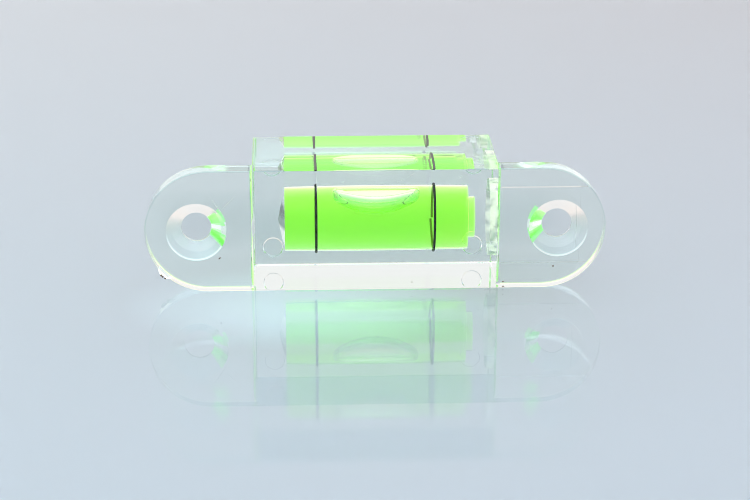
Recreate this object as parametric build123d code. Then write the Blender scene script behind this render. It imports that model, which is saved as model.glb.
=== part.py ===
from build123d import *
import math
import os

# A small block level: one clear moulded block with two screw ears, its bore filled with tinted
# liquid around an air bubble, closed by a stepped plug and marked by two black wire rings.
# X runs along the bore, Y from the front face to the back, Z up.
# The origin lies under the middle of the block, on the surface it stands on.
# All sizes are in millimetres.

# Block and ears
overall_length = 54.6
block_length = 29.1
block_depth = 14.0
block_height = 15.0
ear_thickness = 2.4
front_edge_round = 0.18
back_edge_round = 0.2
ear_root_round = 0.35

# Screw holes through the ears
hole_from_end = 5.85
hole_shift = 0.2
screw_hole_diameter = 3.6
countersink_diameter = 7.1
countersink_depth = 2.0

# Bore for the liquid, widest at its crown and a little narrower at both ends
bore_behind_middle = 0.4
bore_below_middle = 0.1
crown_diameter = 8.2
crown_rise = 0.11
left_wall = 3.75
bore_tip_depth = 0.82

# Plug that closes the right end
plug_length = 3.35
plug_head_diameter = 9.6
plug_head_thickness = 1.65
plug_fit = 0.01
plug_chamfer = 0.25
pocket_diameter = 5.2
pocket_depth = 0.85

# Marking rings of black wire, moulded into the wall of the bore
ring_spacing = 14.15
ring_shift = -0.15
wire_diameter = 0.3
ring_stands_proud = 0.06
ring_fit = 0.01
ring_gap = 0.12
# The right ring's ends meet this many degrees below the middle of the back, the lower one to the left
ring_end_drop = 13
ring_end_offset = 0.16

# Air bubble, a long boat shape that presses up against the bore
bubble_length = 10.5
bubble_depth = 3.3
bubble_tip_drop = 0.7
bubble_tip_radius = 1.5
bubble_clearance = 0.15
bubble_edge_round = 0.55
liquid_film = 0.02

# Marks left by the mould
ejector_diameter = 2.5
ejector_inset = 2.3
ejector_depth = 0.1
slide_mark_width = 9.6
slide_mark_from_end = 2.9
slide_mark_depth = 0.08

# Stub of the moulding gate, on the lower edge of the left ear
gate_angle = 225
gate_width = 2.2
gate_height = 0.45
gate_thickness = 1.5
# The ragged break, from one side of the stub to the other: shares of its height and half width
gate_break = [(0.4, -0.8), (1.0, -0.25), (0.55, 0.1), (0.8, 0.5), (0.0, 0.9)]

# Places that follow from the sizes above
front_y = -block_depth / 2
back_y = block_depth / 2
ear_back_y = front_y + ear_thickness
block_end_x = block_length / 2
ear_radius = block_height / 2
ear_centre_x = overall_length / 2 - ear_radius
hole_spread = overall_length / 2 - hole_from_end
bore_y = bore_behind_middle
bore_z = block_height / 2 - bore_below_middle
bore_left_x = left_wall - block_end_x
bore_right_x = block_end_x - plug_length
crown_x = (bore_left_x + bore_right_x) / 2
crown_radius = crown_diameter / 2
bore_end_radius = crown_radius - crown_rise
crown_arc_radius = ((crown_x - bore_left_x) ** 2 + crown_rise**2) / (2 * crown_rise)


def bore_radius_at(x):
    """Radius of the crowned bore at a place along it."""
    drop = crown_arc_radius - math.sqrt(crown_arc_radius**2 - (x - crown_x) ** 2)
    return crown_radius - drop


def cylinder_y(x, z, diameter, start_y, end_y):
    """A round bar along Y."""
    circle = Plane(origin=(x, start_y, z), x_dir=(1, 0, 0), z_dir=(0, 1, 0)) * Circle(diameter / 2)
    return extrude(circle, end_y - start_y)


def cylinder_x(diameter, start_x, end_x):
    """A round bar along X, on the bore's axis."""
    circle = Plane(origin=(start_x, bore_y, bore_z), z_dir=(1, 0, 0)) * Circle(diameter / 2)
    return extrude(circle, end_x - start_x)


def place_on_bore(shape):
    """Moves a shape drawn about the X axis onto the bore's axis."""
    return Pos(0, bore_y, bore_z) * shape


def ear_plate():
    """The flat front plate: a bar with round ends, its front edge slightly rounded."""
    front = Plane(origin=(0, front_y, block_height / 2), x_dir=(1, 0, 0), z_dir=(0, 1, 0))
    plate = extrude(front * SlotOverall(overall_length, block_height), ear_thickness)
    front_edges = plate.faces().sort_by(Axis.Y)[0].edges()
    return fillet(front_edges, front_edge_round)


def block():
    """The deep middle of the body, its four long edges and its back edge rounded."""
    depth = block_depth - ear_thickness / 2
    solid = Pos(0, back_y - depth / 2, block_height / 2) * Box(block_length, depth, block_height)
    sharp = solid.edges().filter_by(Axis.Y) + solid.faces().sort_by(Axis.Y)[-1].edges()
    return fillet(sharp, back_edge_round)


def ear_root(side):
    """The small round where the back of one ear meets the end of the block."""
    height = block_height - 2 * back_edge_round
    corner = Pos(side * (block_end_x + ear_root_round / 2), ear_back_y + ear_root_round / 2)
    filling = corner * Box(ear_root_round, ear_root_round, height)
    hollow = Pos(side * (block_end_x + ear_root_round), ear_back_y + ear_root_round)
    round_root = filling - hollow * Cylinder(ear_root_round, height)
    return Pos(0, 0, block_height / 2) * round_root


def screw_holes():
    """Two countersunk holes that open to the front."""
    cut = []
    for side in (-1, 1):
        x = hole_shift + side * hole_spread
        half = [
            (0, front_y),
            (countersink_diameter / 2, front_y),
            (screw_hole_diameter / 2, front_y + countersink_depth),
            (screw_hole_diameter / 2, ear_back_y),
            (0, ear_back_y),
        ]
        face = make_face(Polyline(*half, close=True))
        turned = revolve(face, Axis.Y)
        cut.append(Pos(x, 0, block_height / 2) * turned)
    return cut


def bore():
    """The space for the liquid: a crowned barrel with a shallow conical left end."""
    wall = ThreePointArc(
        (bore_left_x, bore_end_radius), (crown_x, crown_radius), (bore_right_x, bore_end_radius)
    )
    rest = Polyline(
        (bore_right_x, bore_end_radius),
        (bore_right_x, 0),
        (bore_left_x - bore_tip_depth, 0),
        (bore_left_x, bore_end_radius),
    )
    return place_on_bore(revolve(make_face(wall + rest), Axis.X))


def plug_shape(gap):
    """The stepped plug, smaller than its seat by a gap all round, without its pocket."""
    shoulder_x = block_end_x - plug_head_thickness
    head = cylinder_x(plug_head_diameter - 2 * gap, shoulder_x + gap, block_end_x)
    spigot = cylinder_x(2 * bore_end_radius - 2 * gap, bore_right_x, shoulder_x + gap)
    return head + spigot


def end_plug():
    """The plug, chamfered at its outer rim, with the round pocket in its inner face."""
    solid = plug_shape(plug_fit)
    rim = solid.faces().sort_by(Axis.X)[-1].edges()
    solid = chamfer(rim, plug_chamfer)
    return solid - cylinder_x(pocket_diameter, bore_right_x, bore_right_x + pocket_depth)


def ring_radius_at(x):
    """Radius of a marking ring, to the middle of its wire."""
    return bore_radius_at(x) - ring_stands_proud + wire_diameter / 2


def ring_arc(radius, diameter, sweep):
    """Part of a turn of wire about X, from the bottom: by the front where the sweep is below 0."""
    section = Plane(origin=(0, 0, -radius), z_dir=(0, 1, 0)) * Circle(diameter / 2)
    return revolve(section, Axis.X, sweep)


def left_ring(diameter):
    """The left marking ring: a turn of wire whose ends meet at the bottom."""
    x = crown_x + ring_shift - ring_spacing / 2
    radius = ring_radius_at(x)
    wire = ring_arc(radius, diameter, math.degrees(ring_gap / radius) - 360)
    return Pos(x, 0, 0) * place_on_bore(wire)


def right_ring(diameter):
    """The right marking ring: its ends meet at the back, and its lower back quarter leans aside."""
    x = crown_x + ring_shift + ring_spacing / 2
    radius = ring_radius_at(x)
    wire = ring_arc(radius, diameter, -270 - ring_end_drop)
    rise = radius * (1 - math.sin(math.radians(ring_end_drop)))
    lean = math.degrees(math.asin(ring_end_offset / rise))
    tail = ring_arc(radius, diameter, 90 - ring_end_drop - math.degrees(ring_gap / radius))
    wire += Pos(0, 0, -radius) * Rot(0, -lean, 0) * Pos(0, 0, radius) * tail
    return Pos(x, 0, 0) * place_on_bore(wire)


def ring_grooves():
    """The room that the two rings take, with their fit."""
    diameter = wire_diameter + 2 * ring_fit
    return [left_ring(diameter), right_ring(diameter)]


def ejector_marks():
    """Four shallow round marks with sloping rims near the corners of the block's back face."""
    x = block_end_x - ejector_inset
    z = block_height / 2 - ejector_inset
    radius = ejector_diameter / 2
    marks = []
    for side in (-1, 1):
        for level in (-1, 1):
            mark = Cone(radius - ejector_depth, radius, ejector_depth)
            place = Pos(side * x, back_y - ejector_depth / 2, block_height / 2 + level * z)
            marks.append(place * Rot(-90, 0, 0) * mark)
    return marks


def slide_mark():
    """The shallow track of the mould's slide across the back of the right ear, its sides sloping."""
    start_x = block_end_x + ear_root_round
    end_x = overall_length / 2 - slide_mark_from_end
    half = slide_mark_width / 2
    deep = slide_mark_depth
    section = Polyline((-half, 0), (deep - half, -deep), (half - deep, -deep), (half, 0), close=True)
    across = Plane(origin=(start_x, ear_back_y, bore_z), x_dir=(0, 0, -1), z_dir=(1, 0, 0))
    return extrude(across * make_face(section), end_x - start_x)


def gate_stub():
    """The rough stub of the moulding gate, broken off the lower edge of the left ear."""
    root = ear_radius - gate_height
    half = gate_width / 2
    ragged = [(ear_radius + up * gate_height, along * half) for up, along in gate_break]
    outline = Polyline((root, -half), *ragged, (root, half), close=True)
    stub = extrude(make_face(outline), gate_thickness)
    stub = Rot(0, 0, gate_angle) * stub
    stub = Rot(90, 0, 0) * stub
    start_y = front_y + (ear_thickness + gate_thickness) / 2
    return Pos(-ear_centre_x, start_y, block_height / 2) * stub


def acrylic_body():
    """The clear moulding: plate and block in one, with every hole, seat and mould mark."""
    body = ear_plate() + block() + ear_root(-1) + ear_root(1) + gate_stub()
    for hole in screw_holes():
        body -= hole
    body -= bore()
    body -= cylinder_x(2 * bore_end_radius, bore_right_x, block_end_x)
    body -= cylinder_x(plug_head_diameter, block_end_x - plug_head_thickness, block_end_x)
    for groove in ring_grooves():
        body -= groove
    for mark in ejector_marks():
        body -= mark
    return body - slide_mark()


def bubble_outline(half, hang, tip_radius):
    """Upper half of the bubble's side outline: one long arc between two small round tips."""
    reach = half - tip_radius
    spare = hang - tip_radius
    below = (reach**2 - spare**2) / (2 * spare)
    long_radius = hang + below
    lean = math.atan2(reach, below)
    meet_x = long_radius * math.sin(lean)
    meet_y = long_radius * math.cos(lean) - below
    mid_tip = (math.pi / 2 - lean) / 2
    tip_x = reach + tip_radius * math.cos(mid_tip)
    tip_y = tip_radius * math.sin(mid_tip)
    left = ThreePointArc((-half, 0), (-tip_x, tip_y), (-meet_x, meet_y))
    middle = ThreePointArc((-meet_x, meet_y), (0, hang), (meet_x, meet_y))
    right = ThreePointArc((meet_x, meet_y), (tip_x, tip_y), (half, 0))
    return left + middle + right + Line((half, 0), (-half, 0))


def bubble_shape(growth=0):
    """The bubble: a long round body with its top cut to the bore's own curve and its rim rounded.
    Growth makes it larger all round."""
    top = crown_radius - bubble_clearance + growth
    end = bore_end_radius - bubble_clearance + growth
    tip_height = crown_radius - bubble_clearance - bubble_tip_drop
    half = bubble_length / 2 + growth
    hang = bubble_depth - bubble_tip_drop + growth
    outline = bubble_outline(half, hang, bubble_tip_radius + growth)
    shape = Pos(crown_x, 0, tip_height) * revolve(make_face(outline), Axis.X)
    ceiling = ThreePointArc((bore_left_x, end), (crown_x, top), (bore_right_x, end))
    floor = Polyline((bore_right_x, end), (bore_right_x, 0), (bore_left_x, 0), (bore_left_x, end))
    ceiling_shape = revolve(make_face(ceiling + floor), Axis.X)
    shape = (shape & ceiling_shape).solids()[0]
    shape_top = shape.faces().sort_by(Axis.Z)[-1]
    return place_on_bore(fillet(shape_top.edges(), bubble_edge_round + growth))


def liquid():
    """The tinted liquid: it fills the bore and the plug's pocket, around the rings and the bubble."""
    filling = bore() + cylinder_x(pocket_diameter, bore_right_x, bore_right_x + pocket_depth)
    for groove in ring_grooves():
        filling -= groove
    return filling - bubble_shape(liquid_film)


pieces = {
    "acrylic_body": acrylic_body(),
    "end_plug": end_plug(),
    "left_ring": left_ring(wire_diameter),
    "right_ring": right_ring(wire_diameter),
    "liquid": liquid(),
    "bubble": bubble_shape(),
}

os.makedirs("parts", exist_ok=True)
for name, piece in pieces.items():
    solid = piece.solids().sort_by(SortBy.VOLUME)[-1]
    export_step(solid, f"parts/{name}.step")
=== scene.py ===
import math

import bmesh
import bpy
from mathutils import Matrix, Vector


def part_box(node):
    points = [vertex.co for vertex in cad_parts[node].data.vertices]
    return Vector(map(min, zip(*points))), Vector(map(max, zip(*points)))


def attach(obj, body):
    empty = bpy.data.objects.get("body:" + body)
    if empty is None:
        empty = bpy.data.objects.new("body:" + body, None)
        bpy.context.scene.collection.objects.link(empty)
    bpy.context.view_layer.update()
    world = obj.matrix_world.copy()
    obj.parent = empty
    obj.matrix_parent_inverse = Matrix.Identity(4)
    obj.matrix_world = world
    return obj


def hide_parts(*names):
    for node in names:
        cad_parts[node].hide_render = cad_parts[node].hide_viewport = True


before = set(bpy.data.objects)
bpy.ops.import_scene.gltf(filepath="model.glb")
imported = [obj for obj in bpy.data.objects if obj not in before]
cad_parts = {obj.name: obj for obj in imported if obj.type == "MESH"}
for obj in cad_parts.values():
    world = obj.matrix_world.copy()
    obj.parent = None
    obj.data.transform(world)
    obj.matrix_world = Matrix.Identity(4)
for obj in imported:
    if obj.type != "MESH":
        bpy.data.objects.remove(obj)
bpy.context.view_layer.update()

MM = 0.001

# Camera, as it stood for the photograph
camera_place = Vector((-10.235, -239.968, 89.104)) * MM
camera_turn = math.radians(2.486)
camera_dip = math.radians(19.827)
camera_roll = math.radians(0.132)
focal_pixels = 2090.9
picture_width = 750
sensor_width = 36.0
clip_near = 0.01
clip_far = 20.0

# Optics: each surface bends light by the ratio of the two sides
acrylic_index = 1.49
liquid_index = 1.44
air_in_acrylic = 1.0 / acrylic_index
liquid_in_acrylic = liquid_index / acrylic_index

# The bore and what fills it
film = 0.03 * MM
bore_axis_y = 0.4 * MM
bore_axis_z = 7.4 * MM
crown_x = 0.2 * MM
crown_rise = 0.11 * MM
shoulder_left_x = -10.8 * MM
shoulder_right_x = 11.2 * MM
pocket_radius = 2.6 * MM
barrel_wall_radius = 3.8 * MM
seat_radius = 4.95 * MM
seat_right_x = 13.7 * MM

# The liquid turns yellower from low_z up and to the right of yellow_x
low_z = 6.4 * MM
low_fade = 2.0 * MM
yellow_x = 5.5 * MM
yellow_fade = 3.0 * MM

# Its upper wall, where the outward normal's y is above top_from, carries a pale painted highlight
top_from = -0.6
top_fade = 0.4

# The drill-point cone at its left end, with a painted reflection: heights above the bore's axis where it
# is dark and white, how far it shows, how much of it covers the liquid, and the share of painted cream
# behind the axis
cone_dark_z = 0.396 * MM
cone_dark_fade = 0.825 * MM
cone_white_z = -0.297 * MM
cone_top_z = 2.475 * MM
cone_bottom_z = -3.069 * MM
cone_fade = 0.619 * MM
behind_fade = 1.0 * MM
grazing_from = 0.4
grazing_fade = 0.25
cone_cover = 0.92
cream_share = 0.6

# The painted highlight on the upper part of the bubble's front
lens_z = 9.3 * MM
lens_fade = 0.6 * MM

# The front face lies just before this depth, and the ears' back face just behind ear_back_y
front_y = -6.99 * MM
ear_back_y = -4.61 * MM

# The screw holes: the middle between them, how far each is from it, and the painted light on their
# cones: green and white sectors, a brighter lower half and a glint at the front edge
holes_middle_x = 0.2 * MM
hole_reach = 21.45 * MM
hole_z = 7.5 * MM
countersink_radius = 3.56 * MM
green_slopes = (0.21, 0.9, -0.12, -0.6)
low_cone_fade = 2.0 * MM
edge_round = 0.17 * MM

# The edges of the ears, the left ear's root and the gate's stub, and the glints painted on them
stub_x = -24.5 * MM
stub_front_y = -6.55 * MM
stub_rise = 0.03 * MM
lip = 0.12 * MM
lip_top = 7.5 * MM
lip_fade = 4.0 * MM
block_end_x = 14.55 * MM
ear_root_round = 0.35 * MM
root_glint = 0.2 * MM
rim_x = 15.0 * MM
rim_z = 12.5 * MM
ear_centre_x = 19.8 * MM
ear_radius = 7.5 * MM

# The track of the mould's slide, on the back of the right ear
slide_mark_edge = 4.75 * MM
slide_mark_slope = 0.1 * MM
slide_mark_left_x = 14.9 * MM

# Roughness of what is polished, worn, drilled, moulded or welded; the weld and the painted glint streaks
# on it, and the acrylic's tint
polish = 0.006
wear = 0.02
drill_finish = 0.17
mark_finish = 0.35
weld_finish = 0.4
weld_inner_radius = 4.5 * MM
glint_streaks_from = 0.42
glint_streaks_fade = 1.0 / 6.0
acrylic_tint = (0.955, 0.995, 0.955)

# Marks on the front face, in millimetres: where each scratch runs in x and z
scratches = [
    ((-19.5, 11.9), (-17.9, 9.4)),
    ((-16.6, 11.9), (-18.3, 10.2)),
    ((-6.97, 14.7), (-6.97, 12.0)),
    ((6.31, 14.7), (6.31, 12.0)),
    ((2.3, 13.35), (3.3, 13.9)),
    ((3.6, 14.0), (4.6, 14.6)),
    ((9.6, 13.85), (10.2, 14.15)),
    ((-4.1, 13.4), (-3.6, 13.65)),
]
scratch_width = 0.09 * MM
scratch_depth = 0.02 * MM
# Specks of dirt: x, z and radius, in millimetres
dark_specks = [
    (15.2, 0.82, 0.1),
    (15.22, 0.2, 0.1),
    (21.15, 2.72, 0.1),
    (-25.5, 2.0, 0.14),
    (-25.35, 1.8, 0.12),
    (-25.05, 1.6, 0.11),
    (-6.7, 11.75, 0.06),
    (-18.55, 4.1, 0.1),
    (-18.45, 4.18, 0.07),
    (4.3, 0.9, 0.07),
]

# The table: a thick glass plate over a pale board, with a painted shadow behind the level and a painted
# glow before it
plate_thickness = 10.5 * MM
plate_drop = 0.02 * MM
table_half = 3.0
level_reach = 30.0 * MM
shade_y = 29.0 * MM
shade_reach = 13.0 * MM
shade_edge = 6.0 * MM
glow_x = -8.0 * MM
glow_y = -3.0 * MM
glow_reach_x = 24.0 * MM
glow_reach_y = 15.0 * MM

# Steps around the bore and along its crown
turns = 160
crown_steps = 48


class Signal:
    """A socket of a material, which takes part in Python expressions."""

    def __init__(self, tree, socket=None):
        self.tree = tree
        self.socket = socket

    def node(self, kind, settings=None, values=None, output=0):
        """A node of any type: its settings first, then the values or links of its sockets."""
        made = self.tree.nodes.new(kind)
        for name, value in (settings or {}).items():
            setattr(made, name, value)
        for name, value in (values or {}).items():
            if isinstance(value, Signal):
                self.tree.links.new(value.socket, made.inputs[name])
            else:
                made.inputs[name].default_value = value
        return Signal(self.tree, made.outputs[output])

    def maths(self, operation, *values):
        return self.node("ShaderNodeMath", {"operation": operation}, dict(enumerate(values)))

    def __add__(self, other):
        return self.maths("ADD", self, other)

    def __radd__(self, other):
        return self.maths("ADD", other, self)

    def __sub__(self, other):
        return self.maths("SUBTRACT", self, other)

    def __rsub__(self, other):
        return self.maths("SUBTRACT", other, self)

    def __mul__(self, other):
        return self.maths("MULTIPLY", self, other)

    def __truediv__(self, other):
        return self.maths("DIVIDE", self, other)

    def __pow__(self, other):
        return self.maths("POWER", self, other)

    def __lt__(self, other):
        return self.maths("LESS_THAN", self, other)

    def __gt__(self, other):
        return self.maths("GREATER_THAN", self, other)

    def axis(self, letter):
        return self.node("ShaderNodeSeparateXYZ", None, {0: self}, "XYZ".index(letter))

    def blend(self, first, second):
        """The two colours mixed by this signal."""
        return self.node(
            "ShaderNodeMix",
            {"data_type": "RGBA"},
            {"Factor": self, 6: first, 7: second},
            2,
        )


def finish(name):
    """A new material and the signal that builds its nodes."""
    material = bpy.data.materials.new(name)
    material.use_nodes = True
    material.node_tree.nodes.clear()
    return material, Signal(material.node_tree)


def show(material, surface, volume=None):
    """Links the shaders to the material's output."""
    output = surface.tree.nodes.new("ShaderNodeOutputMaterial")
    surface.tree.links.new(surface.socket, output.inputs["Surface"])
    if volume:
        surface.tree.links.new(volume.socket, output.inputs["Volume"])
    return material


def rgb(*values):
    return (*values, 1.0)


def place_in_part(signal):
    """The point's own x, y and z in metres."""
    point = signal.node("ShaderNodeTexCoord", output=3)
    return point.axis("X"), point.axis("Y"), point.axis("Z")


def from_bore_axis(y, z):
    """How far a point is from the line through the middle of the bore."""
    across = y - bore_axis_y
    above = z - bore_axis_z
    return (across * across + above * above) ** 0.5


def from_hole(x, z):
    """From the axis of the nearer screw hole: towards the block, and upwards."""
    return hole_reach - size(x - holes_middle_x), z - hole_z


def on_slide_mark(x, y, z):
    """1 on the sloping sides of the slide's track, on the back of the right ear."""
    on_ear = size(y - ear_back_y) < slide_mark_slope
    on_slope = size(size(z - bore_axis_z) - slide_mark_edge) < slide_mark_slope
    return on_ear * on_slope * (x > slide_mark_left_x)


def size(signal):
    return signal.maths("ABSOLUTE", signal)


def larger(first, second):
    return first.maths("MAXIMUM", first, second)


def clamped(signal):
    return larger(signal.maths("MINIMUM", signal, 1.0), 0.0)


def wear_and_glint_noise(signal, scale):
    """Faint uneven noise, from 0 to 1, for wear, uneven colour and patchy painted glints."""
    place = signal.node("ShaderNodeTexCoord", output=3)
    return signal.node("ShaderNodeTexNoise", None, {"Vector": place, "Scale": scale, "Detail": 2.0})


def glints(signal, x, y, z, countersink, weld):
    """The acrylic's tint with painted green and yellow reflections, and the glints painted as emission
    on edges, cones, the weld and the stub, as light caught from the liquid.
    """
    inward, above = from_hole(x, z)
    upper_from, upper_to, lower_from, lower_to = green_slopes
    # Painted reflections on the countersink cones: green sectors with a white one between them, a
    # brighter lower half and a glint at the lower front edge
    upper = (above > inward * upper_from) * (above < inward * upper_to)
    lower = (above < inward * lower_from) * (above > inward * lower_to)
    green = countersink * larger(upper, lower)
    white = countersink * (above > inward * lower_from) * (above < inward * upper_from)
    low_cone = countersink * clamped((hole_z - z) / low_cone_fade)
    hole_edge = low_cone * (y < front_y + edge_round)

    # Painted glints: a yellow line at the left ear's root, pale rims on the ears' tops, yellow on their
    # back lips and a pale glint on the gate's stub
    on_root = (x < -block_end_x) * (x > -block_end_x - root_glint)
    on_root = on_root * (y > ear_back_y) * (y < ear_back_y + ear_root_round)
    outward = larger(size(x) - ear_centre_x, 0.0)
    from_slot = outward * outward + (z - ear_radius) ** 2.0
    beyond = (from_slot > (ear_radius - lip) ** 2) * (size(x) > rim_x)
    on_rim = beyond * (z > rim_z)
    on_lip = beyond * (y > ear_back_y - lip) * clamped((lip_top - z) / lip_fade)
    on_stub = (from_slot > (ear_radius + stub_rise) ** 2) * (x < 0.0)
    yellow = larger(on_lip, on_root)
    # Painted glint streaks on the weld
    glint_streaks = clamped((wear_and_glint_noise(signal, 800.0) - glint_streaks_from) / glint_streaks_fade)

    tint = yellow.blend(rgb(*acrylic_tint), rgb(0.90, 1.0, 0.72))
    tint = green.blend(tint, rgb(0.5, 1.0, 0.4))
    glint = on_rim.blend(rgb(0.0, 0.0, 0.0), rgb(0.13, 0.15, 0.12))
    glint = (weld * glint_streaks).blend(glint, rgb(0.36, 0.38, 0.28))
    glint = yellow.blend(glint, rgb(0.22, 0.30, 0.10))
    glint = low_cone.blend(glint, rgb(0.075, 0.08, 0.085))
    glint = hole_edge.blend(glint, rgb(0.34, 0.41, 0.38))
    glint = on_stub.blend(glint, rgb(0.30, 0.30, 0.27))
    glint = green.blend(glint, rgb(0.05, 0.35, 0.03))
    glint = white.blend(glint, rgb(0.22, 0.24, 0.22))
    return tint, glint


def clear_acrylic():
    """The moulded body: clear, and unseen where the liquid or the plug wets it."""
    material, signal = finish("clear_acrylic")
    x, y, z = place_in_part(signal)
    in_seat = from_bore_axis(y, z) < seat_radius
    weld = in_seat * (x > seat_right_x)
    inward, above = from_hole(x, z)
    in_circle = inward * inward + above * above < countersink_radius**2
    countersink = in_circle * (y > front_y)
    scuffed = polish + wear_and_glint_noise(signal, 400.0) * wear + on_slide_mark(x, y, z) * mark_finish
    # The tint carries painted reflections, and the emission carries painted glints
    tint, glint = glints(signal, x, y, z, countersink, weld)
    surface = signal.node(
        "ShaderNodeBsdfPrincipled",
        None,
        {
            "Base Color": tint,
            "Emission Color": glint,
            "Emission Strength": 1.0,
            "Roughness": scuffed + countersink * drill_finish + weld * weld_finish,
            "IOR": acrylic_index,
            "Transmission Weight": 1.0,
            "Alpha": 1.0 - in_seat * (x < seat_right_x),
        },
    )
    haze = signal.node(
        "ShaderNodeVolumeAbsorption", None, {"Color": rgb(0.30, 0.62, 0.60), "Density": 7.0}
    )
    return show(material, surface, haze)


def plug_acrylic():
    """The end plug: only its outer face meets the air, and its rim is rough from the weld."""
    material, signal = finish("plug_acrylic")
    x, y, z = place_in_part(signal)
    rim = (from_bore_axis(y, z) > weld_inner_radius) * weld_finish
    surface = signal.node(
        "ShaderNodeBsdfPrincipled",
        None,
        {
            "Base Color": rgb(*acrylic_tint),
            "Roughness": polish + wear_and_glint_noise(signal, 900.0) * wear + rim,
            "IOR": acrylic_index,
            "Transmission Weight": 1.0,
            "Alpha": x > seat_right_x,
        },
    )
    return show(material, surface)


def green_liquid():
    """Yellow-green spirit with a painted glow at its walls and a painted highlight on its upper wall;
    the drill's cone at its left end carries a painted reflection, dark above and white below.
    """
    material, signal = finish("green_liquid")
    x, y, z = place_in_part(signal)
    upward = clamped((z - low_z) / low_fade)
    rightward = clamped((x - yellow_x) / yellow_fade)
    facing = signal.node("ShaderNodeNewGeometry", output=1)
    from_outside = 1.0 - signal.node("ShaderNodeNewGeometry", output=6)
    barrel_wall = from_bore_axis(y, z) > barrel_wall_radius
    on_wall = barrel_wall * (x > shoulder_left_x + 2.0 * film)
    # A painted highlight on the upper wall, seen from outside
    backward = clamped((facing.axis("Y") - top_from) / top_fade)
    on_top = backward * (facing.axis("Z") > 0.0) * from_outside * on_wall
    green = larger(upward, rightward).blend(rgb(0.80, 1.0, 0.85), rgb(0.96, 1.0, 0.9))
    outside = larger(barrel_wall, x > shoulder_right_x - 2.0 * film)
    # A painted glow on the outer wall of the liquid
    glow = outside.blend(rgb(0.0, 0.0, 0.0), rgb(0.072, 0.215, 0.0))
    clear = signal.node(
        "ShaderNodeBsdfPrincipled",
        None,
        {
            "Base Color": outside.blend(rgb(1.0, 1.0, 1.0), green),
            "Roughness": 0.0,
            "IOR": liquid_in_acrylic,
            "Transmission Weight": 1.0,
            "Emission Color": on_top.blend(glow, rgb(0.185, 0.235, 0.095)),
            "Emission Strength": 1.0,
        },
    )
    height = z - bore_axis_z
    # A painted reflection on the drill's cone: dark above the axis, white and glowing below, cream
    # behind the axis
    upper = clamped((height - cone_dark_z) / cone_dark_fade)
    lower = clamped((cone_white_z - height) / cone_fade)
    cone_painted_reflection = upper.blend(rgb(0.40, 0.52, 0.44), rgb(0.06, 0.09, 0.07))
    cone_painted_reflection = lower.blend(cone_painted_reflection, rgb(1.0, 1.0, 1.0))
    behind_axis = clamped((y - bore_axis_y) / behind_fade)
    cream = rgb(1.0, 0.97, 0.62)
    cone = signal.node(
        "ShaderNodeBsdfPrincipled",
        None,
        {
            "Base Color": behind_axis.blend(cone_painted_reflection, cream),
            "Roughness": 0.25,
            "Emission Color": lower.blend(rgb(0.0, 0.0, 0.0), rgb(0.35, 0.35, 0.33)),
            "Emission Strength": 1.0,
        },
    )
    in_reach = clamped((cone_top_z - height) / cone_fade)
    in_reach = in_reach * clamped((height - cone_bottom_z) / cone_fade)
    grazing = signal.node("ShaderNodeLayerWeight", None, {"Blend": 0.5}, 1)
    front_cone = in_reach * clamped((grazing - grazing_from) / grazing_fade)
    in_cone = (x < shoulder_left_x + film / 2.0) * larger(front_cone, behind_axis * cream_share)
    surface = signal.node("ShaderNodeMixShader", None, {0: in_cone * cone_cover, 1: clear, 2: cone})
    tint = signal.node(
        "ShaderNodeVolumeAbsorption",
        None,
        {"Color": rgb(0.6, 0.972, 0.0), "Density": 300.0},
    )
    return show(material, surface, tint)


def air_bubble():
    """The skin of the bubble, where the liquid meets air."""
    material, signal = finish("air")
    ripple = wear_and_glint_noise(signal, 1200.0)
    facing = signal.node("ShaderNodeNewGeometry", output=1)
    height = place_in_part(signal)[2]
    # A painted highlight on the upper front of the bubble
    on_front = clamped(facing.axis("Y") * -1.5) * clamped((height - lens_z) / lens_fade)
    surface = signal.node(
        "ShaderNodeBsdfPrincipled",
        None,
        {
            "Base Color": ripple.blend(rgb(0.97, 1.0, 0.97), rgb(1.0, 1.0, 1.0)),
            "Roughness": 0.0,
            "IOR": air_in_acrylic,
            "Transmission Weight": 1.0,
            "Emission Color": on_front.blend(rgb(0.0, 0.0, 0.0), rgb(0.07, 0.0, 0.20)),
            "Emission Strength": 1.0,
        },
    )
    return show(material, surface)


def black_wire():
    """Black coated wire."""
    material, signal = finish("black_wire")
    uneven = wear_and_glint_noise(signal, 1500.0)
    surface = signal.node(
        "ShaderNodeBsdfPrincipled",
        None,
        {
            "Base Color": uneven.blend(rgb(0.0005, 0.001, 0.0005), rgb(0.002, 0.004, 0.002)),
            "Roughness": 0.35 + uneven * 0.2,
            "Specular IOR Level": 0.15,
        },
    )
    return show(material, surface)


def scratch_haze_and_glint():
    """A fine scratch: pale and frosted, with a painted glint."""
    material, signal = finish("scratch_haze_and_glint")
    white = signal.node(
        "ShaderNodeBsdfPrincipled",
        None,
        {
            "Base Color": rgb(0.97, 1.0, 0.98),
            "Roughness": 0.4,
            "Emission Color": rgb(0.14, 0.16, 0.15),
            "Emission Strength": 1.0,
        },
    )
    unseen = signal.node("ShaderNodeBsdfTransparent")
    patchy = wear_and_glint_noise(signal, 3000.0)
    surface = signal.node("ShaderNodeMixShader", None, {0: 0.3 + patchy * 0.5, 1: unseen, 2: white})
    return show(material, surface)


def brown_dirt():
    """Specks of dirt."""
    material, signal = finish("brown_dirt")
    uneven = wear_and_glint_noise(signal, 6000.0)
    surface = signal.node(
        "ShaderNodeBsdfPrincipled",
        None,
        {
            "Base Color": uneven.blend(rgb(0.03, 0.02, 0.015), rgb(0.34, 0.22, 0.15)),
            "Roughness": 0.7,
        },
    )
    return show(material, surface)


def plate_glass():
    """The table's polished glass."""
    material, signal = finish("plate_glass")
    surface = signal.node(
        "ShaderNodeBsdfPrincipled",
        None,
        {
            "Base Color": rgb(1.0, 1.0, 1.0),
            "Roughness": 0.01,
            "IOR": 1.5,
            "Transmission Weight": 1.0,
        },
    )
    return show(material, surface)


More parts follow.
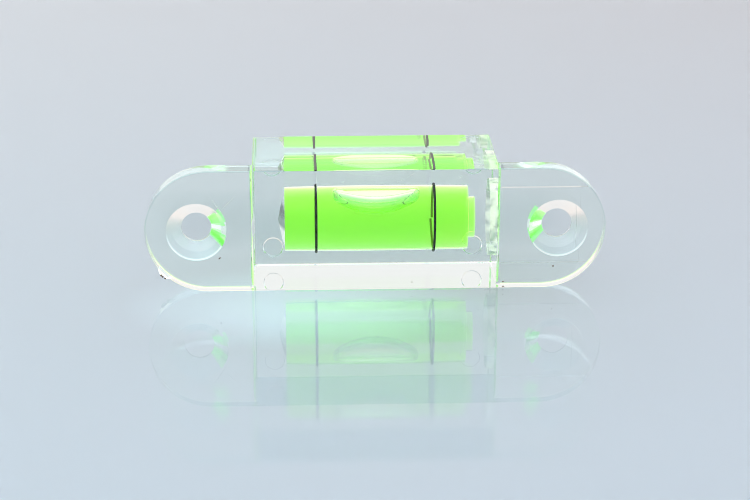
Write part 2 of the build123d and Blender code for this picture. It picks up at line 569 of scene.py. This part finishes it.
def pale_board():
    """Pale blue-grey board under the glass, with painted shading darker towards the far right, a painted
    pool of light before the level and a painted shadow behind it.
    """
    material, signal = finish("pale_board")
    x, y, z = place_in_part(signal)
    right = signal.node("ShaderNodeMapRange", None, {"Value": x, "From Min": -0.06, "From Max": 0.09})
    far = signal.node("ShaderNodeMapRange", None, {"Value": y, "From Min": -0.04, "From Max": 0.19})
    # Painted shading: the board is paler and bluer near the front and darker towards the far right
    near_row = right.blend(rgb(0.79, 0.93, 0.99), rgb(0.76, 0.86, 0.93))
    far_row = right.blend(rgb(0.76, 0.85, 0.87), rgb(0.60, 0.65, 0.68))
    board = far.blend(near_row, far_row)
    # A painted shadow behind the level
    behind = (y - shade_y) / shade_reach
    beside = (level_reach - x.maths("ABSOLUTE", x)) / shade_edge
    shade = larger(1.0 - behind * behind, 0.0) * clamped(beside)
    # A painted pool of light before the level
    gone_x = (x - glow_x) / glow_reach_x
    gone_y = (y - glow_y) / glow_reach_y
    glow = larger(1.0 - gone_x * gone_x - gone_y * gone_y, 0.0) ** 1.5
    surface = signal.node(
        "ShaderNodeBsdfPrincipled",
        None,
        {
            "Base Color": shade.blend(board, rgb(0.56, 0.72, 0.76)),
            "Roughness": 0.03,
            "IOR": 2.1,
            "Emission Color": glow.blend(rgb(0.0, 0.0, 0.0), rgb(0.17, 0.27, 0.30)),
            "Emission Strength": 1.0,
        },
    )
    return show(material, surface)


def new_piece(name, mesh, material):
    piece = bpy.data.objects.new(name, mesh)
    bpy.context.scene.collection.objects.link(piece)
    piece.data.materials.append(material)
    return piece


def turned(name, profile, sharp_rows):
    """A mesh of revolution about the bore's axis, from (x, radius) points; the ends have radius 0."""
    shape = bmesh.new()
    rows = []
    for x, radius in profile:
        count = turns if radius > 0.0 else 1
        row = []
        for step in range(count):
            angle = 2.0 * math.pi * step / turns
            y = bore_axis_y + radius * math.cos(angle)
            z = bore_axis_z + radius * math.sin(angle)
            row.append(shape.verts.new((x, y, z)))
        rows.append(row)
    for near, far in zip(rows, rows[1:]):
        for step in range(turns):
            after = (step + 1) % turns
            corners = [near[step % len(near)], far[step % len(far)]]
            corners += [far[after % len(far)], near[after % len(near)]]
            distinct = list(dict.fromkeys(corners))
            shape.faces.new(distinct)
    bmesh.ops.recalc_face_normals(shape, faces=shape.faces)
    for index in sharp_rows:
        row = set(rows[index])
        for edge in shape.edges:
            if edge.verts[0] in row and edge.verts[1] in row:
                edge.smooth = False
    for face in shape.faces:
        face.smooth = True
    mesh = bpy.data.meshes.new(name)
    shape.to_mesh(mesh)
    shape.free()
    return mesh


def liquid_profile():
    """The filled bore: a shallow cone, the crowned barrel, the shoulder and the plug's pocket."""
    low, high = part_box("liquid")
    crown_radius = (high.z - low.z) / 2.0 - film
    tip_x = low.x + film
    left = shoulder_left_x + film
    right = shoulder_right_x - film
    half = max(crown_x - left, right - crown_x)
    barrel = []
    for step in range(crown_steps + 1):
        x = left + (right - left) * step / crown_steps
        barrel.append((x, crown_radius - crown_rise * ((x - crown_x) / half) ** 2))
    pocket = [(right, pocket_radius - film), (high.x - film, pocket_radius - film), (high.x - film, 0.0)]
    return [(tip_x, 0.0)] + barrel + pocket


def vial_liquid(material):
    profile = liquid_profile()
    corner = crown_steps + 1
    mesh = turned("vial_liquid", profile, [1, corner, corner + 1, corner + 2])
    piece = new_piece("vial_liquid", mesh, material)
    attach(piece, "level")
    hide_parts("liquid")
    return piece


def bubble_cutter(material):
    """The bubble, a little larger, which keeps the liquid out of it."""
    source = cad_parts["bubble"]
    mesh = source.data.copy()
    shape = bmesh.new()
    shape.from_mesh(mesh)
    bmesh.ops.remove_doubles(shape, verts=shape.verts, dist=0.001 * MM)
    shape.normal_update()
    for vertex in shape.verts:
        vertex.co += vertex.normal * film
    shape.to_mesh(mesh)
    shape.free()
    mesh.materials.clear()
    piece = new_piece("bubble_room", mesh, material)
    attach(piece, "bubble")
    piece.hide_render = True
    piece.display_type = "WIRE"
    return piece


def cut(piece, cutter):
    modifier = piece.modifiers.new("room_for_bubble", "BOOLEAN")
    modifier.operation = "DIFFERENCE"
    modifier.solver = "EXACT"
    modifier.object = cutter


def dress(node, material):
    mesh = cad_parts[node].data
    mesh.materials.clear()
    mesh.materials.append(material)


def scratch_marks(material):
    """Fine scratches in the front face: flat slivers, half sunk into it."""
    shape = bmesh.new()
    for start, end in scratches:
        first = Vector((start[0] * MM, front_y, start[1] * MM))
        last = Vector((end[0] * MM, front_y, end[1] * MM))
        middle = (first + last) / 2.0
        run = (last - first).normalized()
        aside = Vector((-run.z, 0.0, run.x)) * (scratch_width / 2.0)
        deep = Vector((0.0, scratch_depth / 2.0, 0.0))
        ring = [shape.verts.new(middle + step) for step in (aside, deep, -aside, -deep)]
        for tip in (shape.verts.new(first), shape.verts.new(last)):
            for one, other in zip(ring, ring[1:] + ring[:1]):
                shape.faces.new((tip, one, other))
    lay_on_front("scratch_marks", shape, material)


def dirt_specks(material):
    """Specks of dirt on the front face and on the gate's stub."""
    shape = bmesh.new()
    for speck_x, speck_z, radius in dark_specks:
        depth = stub_front_y if speck_x < stub_x else front_y
        place = Matrix.Translation((speck_x * MM, depth, speck_z * MM))
        flat = Matrix.Diagonal((1.0, 0.4, 1.0, 1.0))
        bmesh.ops.create_icosphere(shape, subdivisions=2, radius=radius * MM, matrix=place @ flat)
    lay_on_front("dirt_specks", shape, material)


def lay_on_front(name, shape, material):
    """Keeps a finished shape as a piece that moves with the level."""
    bmesh.ops.recalc_face_normals(shape, faces=shape.faces)
    mesh = bpy.data.meshes.new(name)
    shape.to_mesh(mesh)
    shape.free()
    piece = new_piece(name, mesh, material)
    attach(piece, "level")


def camera():
    forward = Vector(
        (
            math.sin(camera_turn) * math.cos(camera_dip),
            math.cos(camera_turn) * math.cos(camera_dip),
            -math.sin(camera_dip),
        )
    )
    right = forward.cross(Vector((0.0, 0.0, 1.0))).normalized()
    up = right.cross(forward)
    tilted_right = right * math.cos(camera_roll) + up * math.sin(camera_roll)
    tilted_up = up * math.cos(camera_roll) - right * math.sin(camera_roll)
    data = bpy.data.cameras.new("camera")
    data.sensor_width = sensor_width
    data.lens = focal_pixels * sensor_width / picture_width
    data.clip_start = clip_near
    data.clip_end = clip_far
    holder = bpy.data.objects.new("camera", data)
    bpy.context.scene.collection.objects.link(holder)
    turn = Matrix((tilted_right, tilted_up, -forward)).transposed()
    holder.matrix_world = Matrix.Translation(camera_place) @ turn.to_4x4()
    bpy.context.scene.camera = holder


def table(name, material, height):
    half = table_half
    shape = bmesh.new()
    square = ((-half, -half), (half, -half), (half, half), (-half, half))
    shape.faces.new([shape.verts.new((x, y, height)) for x, y in square])
    mesh = bpy.data.meshes.new(name)
    shape.to_mesh(mesh)
    shape.free()
    new_piece(name, mesh, material)


def studio():
    world = bpy.data.worlds.new("studio")
    bpy.context.scene.world = world
    world.use_nodes = True
    world.node_tree.nodes.clear()
    signal = Signal(world.node_tree)
    way = signal.node("ShaderNodeTexCoord")
    along, height = way.axis("Y"), way.axis("Z")
    behind = signal.node("ShaderNodeMapRange", None, {"Value": along, "From Min": -0.6, "From Max": 0.2})
    round_about = behind.blend(rgb(0.70, 0.70, 0.72), rgb(1.05, 0.93, 0.92))
    sky = height.blend(round_about, rgb(0.88, 0.95, 1.03))
    key = signal.node(
        "ShaderNodeVectorMath",
        {"operation": "DOT_PRODUCT"},
        {0: way, 1: Vector((-0.25, -0.62, 0.75)).normalized()},
        1,
    )
    softbox = key.maths("MAXIMUM", key, 0.0) ** 8.0
    lit = signal.node(
        "ShaderNodeMix",
        {"data_type": "RGBA", "blend_type": "ADD"},
        {"Factor": softbox, 6: sky, 7: rgb(1.45, 1.6, 1.75)},
        2,
    )
    light = signal.node("ShaderNodeBackground", None, {"Color": lit, "Strength": 1.0})
    output = world.node_tree.nodes.new("ShaderNodeOutputWorld")
    world.node_tree.links.new(light.socket, output.inputs["Surface"])


camera()
studio()
table("table_glass", plate_glass(), -plate_drop)
table("table_board", pale_board(), -plate_thickness)
dress("acrylic_body", clear_acrylic())
dress("end_plug", plug_acrylic())
wire = black_wire()
for ring in ("left_ring", "right_ring"):
    dress(ring, wire)
dress("bubble", air_bubble())
liquid_finish = green_liquid()
liquid = vial_liquid(liquid_finish)
cut(liquid, bubble_cutter(liquid_finish))
scratch_marks(scratch_haze_and_glint())
dirt_specks(brown_dirt())

scene = bpy.context.scene
scene.view_settings.view_transform = "Standard"
scene.cycles.filter_width = 1.0
scene.cycles.max_bounces = 24
scene.cycles.transmission_bounces = 24
scene.cycles.glossy_bounces = 8
scene.cycles.transparent_max_bounces = 32
